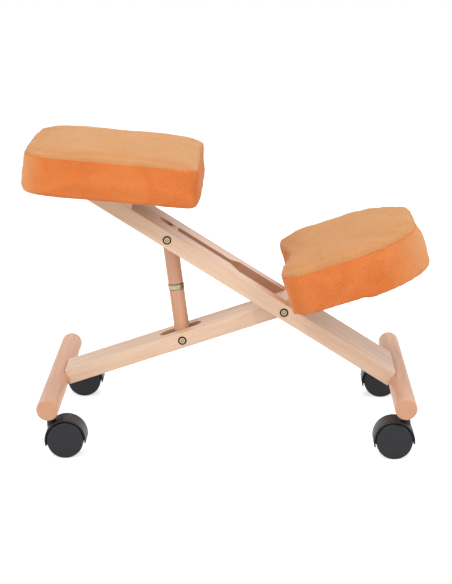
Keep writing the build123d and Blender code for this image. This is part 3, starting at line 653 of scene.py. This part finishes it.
@dataclass
class Cushion:
    """A boxed pad cover, swollen by its filling, with a sewn seam round its top panel."""

    name: str
    body: str
    nodes: tuple[str, ...]
    origin: Point
    pitch: float
    length: float
    width: float
    rear_corner: float
    front_corner: float
    # Which end of the pad, forward (+1) or back (-1), gets painted sheen on its band
    painted_sheen_end: float
    rear_bow: float = 0.0
    notch_depth: float = 0.0
    notch_fill: float = 0.0
    notch_spread: float = 66.0 * MM
    beam_half_width: float = 0.0
    beam_ease: float = 14.0 * MM
    rim_lift: float = 8.6 * MM
    rim_drop: float = 0.0
    band: float = 68.0 * MM
    top_inset: float = 1.8 * MM
    crown: float = 8.0 * MM
    crown_power: float = 0.8
    rear_droop: float = 5.0 * MM
    front_droop: float = 5.0 * MM
    corner_from: float = 0.35
    corner_span: float = 0.45
    droop_from: float = 0.4
    droop_span: float = 0.6
    front_lean: float = 0.0
    shrink: float = 2.5 * MM
    corner_steps: int = 24
    outline_points: int = 150
    voxel: float = 5.0 * MM
    merge: float = 0.8 * MM
    cloth_frames: int = 20
    held_height: float = 10.0 * MM
    swell_limit: float = 4.5 * MM
    pull_in: float = 0.2
    ease_factor: float = 0.4
    ease_rounds: int = 3
    seam_drop: float = 4.0 * MM
    seam_radius: float = 0.7 * MM
    seam_wander: float = 1.4 * MM
    seam_wave: float = 40.0
    seam_sides: int = 8
    pucker: Pucker = Pucker()

    @property
    def seam_height(self) -> float:
        """The height of the seam above the rim's plane."""
        return self.band - self.seam_drop

    def placed(self, u: float, v: float, w: float) -> Vector:
        """A point of the pad's own frame in the chair's frame.

        Args:
            u: Distance forward along the pad.
            v: Distance across the chair.
            w: Height above the rim's plane.

        Returns:
            The point in metres.
        """
        turn = Matrix.Rotation(self.pitch, 3, "Y")
        return Vector(self.origin) + turn @ Vector((u, v, w))

    def heights(self, piece: bpy.types.Object) -> list[float]:
        """The height of each point of a piece above the rim's plane."""
        origin = Vector(self.origin)
        up = self.placed(0.0, 0.0, 1.0) - origin
        return [(vertex.co - origin).dot(up) for vertex in piece.data.vertices]

    def outline(self, height: float, inset: float = 0.0) -> list[Vector]:
        """The pad's plan outline, evenly spaced, counter-clockwise seen from above.

        Args:
            height: Height above the rim's plane; the filling closes the notch a little upwards.
            inset: How far inside the outline, measured square to it.

        Returns:
            Points in the pad's plane.
        """
        notch = self.notch_depth - self.notch_fill * unit(height / self.band)
        half_long, half_wide = self.length / 2, self.width / 2
        corners = (
            (half_long, half_wide, self.front_corner, 0),
            (-half_long, half_wide, self.rear_corner, 90),
            (-half_long, -half_wide, self.rear_corner, 180),
            (half_long, -half_wide, self.front_corner, 270),
        )
        path = []
        for u, v, radius, start in corners:
            centre = Vector((u - math.copysign(radius, u), v - math.copysign(radius, v)))
            for step in range(self.corner_steps + 1):
                angle = math.radians(start + 90 * step / self.corner_steps)
                path.append(centre + radius * Vector((math.cos(angle), math.sin(angle))))
        path = self.evenly(path)
        for point in path:
            if point.x < 0:
                side = unit(-point.x / (half_long - self.rear_corner))
                inward = notch * math.exp(-((point.y / self.notch_spread) ** 2))
                outward = self.rear_bow * (1.0 - (point.y / half_wide) ** 2)
                point.x += side * (inward - outward)
        path = self.evenly(path)
        if inset:
            count = len(path)
            normals = []
            for index in range(count):
                along = path[(index + 1) % count] - path[index - 1]
                normals.append(Vector((-along.y, along.x)).normalized())
            path = [point + normal * inset for point, normal in zip(path, normals)]
        return path

    def evenly(self, path: list[Vector]) -> list[Vector]:
        """Space the points of a closed path evenly along it.

        Args:
            path: The path's points, in order.

        Returns:
            As many points as the cushion's outline has.
        """
        ring = path + path[:1]
        reach = [0.0]
        for first, second in zip(ring, ring[1:]):
            reach.append(reach[-1] + (second - first).length)
        spaced, segment = [], 0
        for step in range(self.outline_points):
            goal = reach[-1] * step / self.outline_points
            while reach[segment + 1] < goal:
                segment += 1
            span = reach[segment + 1] - reach[segment]
            share = (goal - reach[segment]) / span if span else 0.0
            spaced.append(ring[segment].lerp(ring[segment + 1], share))
        return spaced

    def rings(self) -> list[Point]:
        """The rings of the cover from below to the top panel's middle.

        Returns:
            For each ring its inset, its height and its share of the way to the middle.
        """
        rings = [(TUCK[0] * MM, TUCK[1] * MM, 0.0)]
        rings += [(inset * MM, height * MM - self.rim_drop, 0.0) for inset, height in RIM]
        rings += [(inset * MM, height * MM, 0.0) for inset, height in LOW_BAND + HIGH_BAND]
        rings.append((self.top_inset, self.band, 0.0))
        for share in TOP_SHARES:
            rise = self.crown * math.sin(share * math.pi / 2) ** self.crown_power
            rings.append((self.top_inset, self.band + rise, share))
        return rings

    def settled(self, u: float, v: float, w: float) -> float:
        """The height of a point, raised over the beam under the rim and sunk at the top's corners.

        Args:
            u: Distance forward along the pad.
            v: Distance across the chair.
            w: Height above the rim's plane before that.

        Returns:
            The height after it.
        """
        nearness = 4 * abs(u * v) / (self.length * self.width)
        corner = unit((nearness - self.corner_from) / self.corner_span)
        deepest = self.front_droop if u > 0 else self.rear_droop
        droop = deepest * corner * unit((w / self.band - self.droop_from) / self.droop_span)
        if not self.beam_half_width or u > 0:
            return w - droop
        ease = 1.0 - unit((abs(v) - self.beam_half_width) / self.beam_ease)
        ease = ease * ease * (3 - 2 * ease)
        return max(w, self.rim_lift * ease) - droop

    def build(self) -> bpy.types.Object:
        """Build the cover as a closed mesh, a little smaller than it is when swollen, and swell it.

        Returns:
            The new object.
        """
        shape = bmesh.new()
        middle = self.notch_depth / 3
        levels = []
        for inset, height, share in self.rings():
            ring = []
            for point in self.outline(height, inset + self.shrink):
                spot = point.lerp(Vector((middle, 0.0)), share)
                lean = self.front_lean * max(0.0, 2 * spot.x / self.length) * height / self.band
                place = self.placed(spot.x + lean, spot.y, self.settled(spot.x, spot.y, height))
                ring.append(shape.verts.new(place))
            levels.append(ring)
        for below, above in zip(levels, levels[1:]):
            bridge(shape, below, above)
        top = shape.verts.new(self.placed(middle, 0.0, self.band + self.crown))
        bottom = shape.verts.new(self.placed(0.0, 0.0, TUCK[1] * MM))
        for index in range(self.outline_points):
            after = (index + 1) % self.outline_points
            shape.faces.new((levels[-1][index], levels[-1][after], top))
            shape.faces.new((levels[0][after], levels[0][index], bottom))
        piece = add_piece(self.name, shape)
        self.swell(piece)
        return piece

    def swell(self, piece: bpy.types.Object) -> None:
        """Blow the cover up like a filled pad with a short cloth simulation, then ease and pucker it.

        Args:
            piece: The cover, changed in place.
        """
        bpy.context.view_layer.objects.active = piece
        remesh = piece.modifiers.new("even", "REMESH")
        remesh.mode = "VOXEL"
        remesh.voxel_size = self.voxel
        bpy.ops.object.modifier_apply(modifier=remesh.name)
        shape = bmesh.new()
        shape.from_mesh(piece.data)
        bmesh.ops.remove_doubles(shape, verts=shape.verts, dist=self.merge)
        shape.to_mesh(piece.data)
        shape.free()
        self.simulate(piece)
        smooth = piece.modifiers.new("ease", "SMOOTH")
        smooth.factor = self.ease_factor
        smooth.iterations = self.ease_rounds
        bpy.ops.object.modifier_apply(modifier=smooth.name)
        finer = piece.modifiers.new("finer", "SUBSURF")
        finer.levels = 1
        finer.render_levels = 1
        bpy.ops.object.modifier_apply(modifier=finer.name)
        normals = [vertex.normal.copy() for vertex in piece.data.vertices]
        for vertex, normal, height in zip(piece.data.vertices, normals, self.heights(piece)):
            vertex.co += normal * self.pucker.push(vertex.co, height, self.seam_height)
        piece.data.shade_smooth()

    def simulate(self, piece: bpy.types.Object) -> None:
        """Run the cloth and keep its result, held within the swell limit.

        Args:
            piece: The remeshed cover, changed in place.
        """
        rest = [vertex.co.copy() for vertex in piece.data.vertices]
        outward = [vertex.normal.copy() for vertex in piece.data.vertices]
        held = piece.vertex_groups.new(name="held")
        heights = self.heights(piece)
        low = [index for index, height in enumerate(heights) if height < self.held_height]
        held.add(low, 1.0, "REPLACE")
        cloth = piece.modifiers.new("filling", "CLOTH")
        for key, value in CLOTH.items():
            setattr(cloth.settings, key, value)
        cloth.settings.vertex_group_mass = held.name
        cloth.settings.effector_weights.gravity = 0.0
        cloth.point_cache.frame_start = 1
        cloth.point_cache.frame_end = self.cloth_frames
        scene = bpy.context.scene
        for step in range(1, self.cloth_frames + 1):
            scene.frame_set(step)
        graph = bpy.context.evaluated_depsgraph_get()
        swollen = [vertex.co.copy() for vertex in piece.evaluated_get(graph).data.vertices]
        piece.modifiers.remove(cloth)
        scene.frame_set(1)
        for vertex, before, after, normal in zip(piece.data.vertices, rest, swollen, outward):
            move = after - before
            sunk = min(0.0, move.dot(normal))
            move -= normal * sunk * (1.0 - self.pull_in)
            if move.length > self.swell_limit:
                move *= self.swell_limit / move.length
            vertex.co = before + move
        piece.vertex_groups.remove(held)
        mean = sum((after - before).length for before, after in zip(rest, swollen)) / len(rest)
        LOG.info("the cloth of %s moved by %.1f mm on average", self.name, mean / MM)

    def seam(self, cover: bpy.types.Object) -> bpy.types.Object:
        """Sew the seam: a thin rolled edge that follows the cover where top and band meet.

        Args:
            cover: The finished cover.

        Returns:
            The seam as a mesh tube.
        """
        tree = BVHTree.FromPolygons(
            [vertex.co for vertex in cover.data.vertices],
            [face.vertices for face in cover.data.polygons],
        )
        spine = []
        for point in self.outline(self.seam_height):
            wander = self.seam_wander * noise.noise(Vector((point.x, point.y, 0.0)) * self.seam_wave)
            goal = self.placed(point.x, point.y, self.seam_height + wander)
            place, normal, _, _ = tree.find_nearest(goal)
            spine.append((place, normal))
        shape = bmesh.new()
        loops = []
        for index, (place, normal) in enumerate(spine):
            along = (spine[(index + 1) % len(spine)][0] - spine[index - 1][0]).normalized()
            out = normal.cross(along).normalized()
            loop = []
            for side in range(self.seam_sides):
                angle = 2 * math.pi * side / self.seam_sides
                offset = normal * math.cos(angle) + out * math.sin(angle)
                loop.append(shape.verts.new(place + offset * self.seam_radius))
            loops.append(loop)
        for loop, after in zip(loops, loops[1:] + loops[:1]):
            bridge(shape, loop, after)
        piece = add_piece(f"{self.name}_seam", shape)
        piece.data.shade_smooth()
        return piece

    def dress(self, effects: Effects) -> None:
        """Build the cover and its seam, finish them and join them to their body.

        Args:
            effects: The shared node groups.
        """
        finish = PlushFinish(
            name=f"{self.name}_plush",
            roughness=(0.85, 0.95),
            bump=0.5 * MM,
            origin=self.origin,
            pitch=self.pitch,
            seam_height=self.seam_height,
            painted_sheen_end=self.painted_sheen_end,
        ).make(effects)
        stitching = MottledFinish(
            name=f"{self.name}_stitching",
            roughness=(0.9, 0.95),
            bump=0.3 * MM,
            light=linear(222, 134, 72),
            dark=linear(196, 104, 48),
            grain=600.0,
        ).make(effects)
        cover = self.build()
        cover.data.materials.append(finish)
        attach(cover, self.body)
        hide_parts(*self.nodes)
        seam = self.seam(cover)
        seam.data.materials.append(stitching)
        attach(seam, self.body)
        LOG.info("built %s and its seam", self.name)


@dataclass
class WoodFrame:
    """The beech pieces of the frame, grained along their length; names with rosy endings are redder."""

    rosy: tuple[str, ...] = ("_crossbar", "_dowel")
    rosy_light: Colour = linear(218, 171, 140)
    rosy_dark: Colour = linear(202, 150, 117)

    def directions(self) -> dict[str, Point]:
        """The way that the grain runs in each wooden node.

        Returns:
            A direction for each node's name.
        """
        knee, seat = math.radians(KNEE_SLOPE), math.radians(SEAT_SLOPE)
        strut = Vector(STRUT_TOP) - Vector(STRUT_FOOT)
        along_seat = (math.cos(seat), 0.0, -math.sin(seat))
        return {
            "knee_beam": (math.cos(knee), 0.0, math.sin(knee)),
            "seat_beam": along_seat,
            "seat_wedge_block": along_seat,
            "front_crossbar": ACROSS,
            "rear_crossbar": ACROSS,
            "strut_upper_dowel": tuple(strut.normalized()),
            "strut_lower_dowel": tuple(strut.normalized()),
        }

    def dress(self, effects: Effects) -> None:
        """Give each wooden node its own beech.

        Args:
            effects: The shared node groups.
        """
        for node, along in self.directions().items():
            finish = BeechFinish(
                name=f"{node}_beech",
                roughness=(0.36, 0.5),
                bump=0.12 * MM,
                along=along,
                slot_half_width=SLOT_HALF_WIDTHS.get(node, 0.0),
            )
            if node.endswith(self.rosy):
                finish = replace(finish, light=self.rosy_light, dark=self.rosy_dark)
            paint(node, finish.make(effects))
            LOG.info("dressed %s", node)


@dataclass
class Fittings:
    """Boards, bolts, nuts, washers and the strut's adjuster."""

    plated: MottledFinish = MottledFinish(
        name="plated_steel",
        roughness=(0.28, 0.45),
        bump=0.02 * MM,
        light=linear(190, 188, 184),
        dark=linear(140, 138, 135),
        grain=900.0,
        metallic=1.0,
    )
    brass: MottledFinish = MottledFinish(
        name="aged_brass",
        roughness=(0.3, 0.42),
        bump=0.04 * MM,
        light=linear(196, 188, 166),
        dark=linear(142, 130, 104),
        grain=300.0,
        metallic=1.0,
        stretch=(1.0, 1.0, 8.0),
    )
    washer: MottledFinish = MottledFinish(
        name="black_washer",
        roughness=(0.5, 0.65),
        bump=0.03 * MM,
        light=linear(40, 36, 32),
        dark=linear(24, 21, 18),
        grain=1600.0,
    )
    # Plating for the connector bolts and sleeve nuts, with painted shadow round the rim and painted shade
    # round the socket
    ringed: BoltFinish = BoltFinish(
        name="ringed_plating",
        roughness=(0.3, 0.45),
        bump=0.02 * MM,
        specular=0.1,
        light=linear(234, 220, 188),
        dark=linear(208, 190, 154),
        grain=900.0,
    )
    plywood: MottledFinish = MottledFinish(
        name="raw_plywood",
        roughness=(0.6, 0.75),
        bump=0.15 * MM,
        light=linear(206, 170, 128),
        dark=linear(166, 126, 88),
        grain=160.0,
        stretch=(0.35, 3.0, 3.0),
    )

    def dress(self, effects: Effects) -> None:
        """Finish the boards and all the metal and plastic fittings.

        Args:
            effects: The shared node groups.
        """
        plated = self.plated.make(effects)
        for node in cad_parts:
            if node.endswith(("_bolts", "_nuts", "_nut", "_stem", "_axle")):
                paint(node, plated)
        for joint, place in (("pivot", PIVOT), ("upper_strut", STRUT_TOP), ("lower_strut", STRUT_FOOT)):
            for node in (f"{joint}_bolt", f"{joint}_sleeve_nut"):
                finish = replace(self.ringed, name=f"{node}_plating", axis_point=place)
                paint(node, finish.make(effects))
        paint("adjuster_screw", plated)
        for finish, nodes in (
            (self.brass, ("adjuster_ring", "strut_upper_insert", "strut_lower_insert")),
            (self.washer, ("adjuster_washers", "pivot_washers", "pivot_bush")),
            (self.plywood, ("seat_board", "knee_board")),
        ):
            material = finish.make(effects)
            for node in nodes:
                paint(node, material)
        LOG.info("dressed the fittings and the boards")


@dataclass
class Casters:
    """The four casters: hoods, wheels and the sockets in the crossbars."""

    shell: MottledFinish = MottledFinish(
        name="caster_hood_plastic",
        roughness=(0.42, 0.55),
        bump=0.05 * MM,
        light=linear(36, 37, 39),
        dark=linear(24, 24, 26),
        grain=1300.0,
        specular=0.3,
    )
    wheel: MottledFinish = MottledFinish(
        name="caster_wheel_plastic",
        roughness=(0.34, 0.46),
        bump=0.03 * MM,
        light=linear(33, 35, 39),
        dark=linear(23, 24, 28),
        grain=1600.0,
        specular=0.3,
    )

    def dress(self, effects: Effects) -> None:
        """Finish every plastic piece of the casters.

        Args:
            effects: The shared node groups.
        """
        shell, wheel = self.shell.make(effects), self.wheel.make(effects)
        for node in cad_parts:
            if node.endswith("_hood") or node.endswith("caster_sockets"):
                paint(node, shell)
            elif node.endswith("_wheel"):
                paint(node, wheel)
        LOG.info("dressed the casters")


@dataclass(frozen=True)
class Lamp:
    """A round soft box: where it hangs, how wide it is, its power in watts and its tint."""

    name: str
    place: Point
    size: float
    power: float
    tint: Point = (1.0, 1.0, 1.0)


@dataclass
class Studio:
    """The pale floor, the soft light and the camera."""

    camera_place: Point = (43.55 * MM, -3294.2 * MM, 981.5 * MM)
    camera_down: float = 12.81
    camera_left: float = 0.83
    focal_pixels: float = 1968.0
    image_height: float = 584.0
    sensor: float = 36.0
    clip_end: float = 100.0
    floor_half: float = 9.0
    floor_colour: Colour = (0.86, 0.86, 0.86, 1.0)
    floor_roughness: float = 0.9
    floor_glow: float = 0.62
    world_light: float = 0.5
    lamp_goal: Point = (0.0, 0.0, 0.3)
    lamps: tuple[Lamp, ...] = (
        Lamp("key_box", place=(-1.6, -2.4, 2.6), size=2.2, power=62.0),
        Lamp("fill_box", place=(2.2, -2.0, 1.8), size=2.4, power=34.0),
        Lamp("top_box", place=(0.2, 0.8, 3.0), size=2.6, power=40.0, tint=(0.93, 0.94, 1.0)),
    )

    def build(self) -> None:
        """Build the floor, the lamps, the world and the camera."""
        self.build_floor()
        self.build_lamps()
        self.build_world()
        self.build_camera()
        LOG.info("built the studio")

    def shown(self, sketch: NodeSketch) -> bpy.types.NodeSocket:
        """Tell the rays that show the background from those that only light the chair.

        Args:
            sketch: The sketch of a material or of the world.

        Returns:
            A share of 1 for camera, glossy and transmission rays.
        """
        rays = sketch.add("ShaderNodeLightPath").outputs
        seen = sketch.math("MAXIMUM", rays["Is Camera Ray"], rays["Is Glossy Ray"])
        return sketch.math("MAXIMUM", seen, rays["Is Transmission Ray"])

    def build_floor(self) -> None:
        """Lay a large pale floor that shows white to the camera and keeps the shadow."""
        mesh = bpy.data.meshes.new("studio_floor")
        half = self.floor_half
        corners = [(-half, -half, 0.0), (half, -half, 0.0), (half, half, 0.0), (-half, half, 0.0)]
        mesh.from_pydata(corners, [], [(0, 1, 2, 3)])
        floor = bpy.data.objects.new("studio_floor", mesh)
        bpy.context.scene.collection.objects.link(floor)
        sketch = MaterialSketch("pale_floor")
        sketch.feed(
            sketch.shader,
            {
                "Base Color": self.floor_colour,
                "Roughness": self.floor_roughness,
                "Specular IOR Level": 0.0,
                "Emission Color": WHITE,
                "Emission Strength": sketch.math("MULTIPLY", self.shown(sketch), self.floor_glow),
            },
        )
        mesh.materials.append(sketch.material)

    def build_lamps(self) -> None:
        """Hang the soft boxes."""
        for box in self.lamps:
            light = bpy.data.lights.new(box.name, "AREA")
            light.shape = "DISK"
            light.size = box.size
            light.energy = box.power
            light.color = box.tint
            lamp = bpy.data.objects.new(box.name, light)
            lamp.location = box.place
            aim = Vector(self.lamp_goal) - Vector(box.place)
            lamp.rotation_mode = "QUATERNION"
            lamp.rotation_quaternion = aim.to_track_quat("-Z", "Y")
            bpy.context.scene.collection.objects.link(lamp)

    def build_world(self) -> None:
        """Set a world that lights softly and shows white."""
        world = bpy.data.worlds.new("studio_world")
        bpy.context.scene.world = world
        world.use_nodes = True
        sketch = NodeSketch(world.node_tree)
        strength = sketch.spread(self.shown(sketch), (0.0, 1.0), (self.world_light, 1.0))
        sketch.feed(world.node_tree.nodes["Background"], {"Color": WHITE, "Strength": strength})
        bpy.context.scene.view_settings.view_transform = "Standard"

    def build_camera(self) -> None:
        """Set the camera where the photograph was taken from."""
        data = bpy.data.cameras.new("camera")
        data.sensor_fit = "AUTO"
        data.sensor_width = self.sensor
        data.lens = self.focal_pixels / self.image_height * self.sensor
        data.clip_end = self.clip_end
        camera = bpy.data.objects.new("camera", data)
        camera.location = self.camera_place
        camera.rotation_euler = (
            math.radians(90.0 - self.camera_down),
            0.0,
            math.radians(self.camera_left),
        )
        bpy.context.scene.collection.objects.link(camera)
        bpy.context.scene.camera = camera


def paint(node: str, material: bpy.types.Material) -> None:
    """Give a node of the frame one material."""
    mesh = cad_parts[node].data
    mesh.materials.clear()
    mesh.materials.append(material)


def make_pads() -> tuple[Cushion, Cushion]:
    """The seat pad and the knee pad, measured from the photograph.

    Returns:
        Both cushions, not built yet.
    """
    slope = math.radians(KNEE_SLOPE)
    along = Vector((math.cos(slope), 0.0, math.sin(slope)))
    up = Vector((-math.sin(slope), 0.0, math.cos(slope)))
    knee_origin = tuple(Vector(PIVOT) + along * KNEE_PAD_REACH + up * KNEE_PAD_RISE)
    seat = Cushion(
        name="seat_cushion",
        body="seat_arm",
        nodes=("seat_cover", "seat_foam"),
        origin=(-192.3 * MM, 0.0, 419.3 * MM),
        pitch=math.radians(SEAT_TILT),
        length=294.0 * MM,
        width=346.0 * MM,
        rear_corner=56.0 * MM,
        front_corner=20.0 * MM,
        painted_sheen_end=-1.0,
        rear_bow=6.0 * MM,
        band=67.4 * MM,
        rear_droop=2.0 * MM,
        rim_drop=0.4 * MM,
    )
    knee = Cushion(
        name="knee_cushion",
        body="base",
        nodes=("knee_cover", "knee_foam"),
        origin=knee_origin,
        pitch=math.radians(-KNEE_SLOPE),
        length=248.5 * MM,
        width=356.0 * MM,
        rear_corner=48.0 * MM,
        front_corner=122.0 * MM,
        painted_sheen_end=1.0,
        notch_depth=22.0 * MM,
        notch_fill=8.0 * MM,
        beam_half_width=39.0 * MM,
        band=74.5 * MM,
        rear_droop=1.0 * MM,
        front_lean=-3.5 * MM,
        rim_drop=3.4 * MM,
        seam_drop=6.0 * MM,
    )
    return seat, knee


def main() -> None:
    """Build and dress the chair, then the studio."""
    logging.basicConfig(level=logging.INFO, format="%(name)s: %(message)s")
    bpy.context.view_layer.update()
    effects = Effects()
    WoodFrame().dress(effects)
    Fittings().dress(effects)
    Casters().dress(effects)
    for pad in make_pads():
        pad.dress(effects)
    Studio().build()


if __name__ == "__main__":
    main()
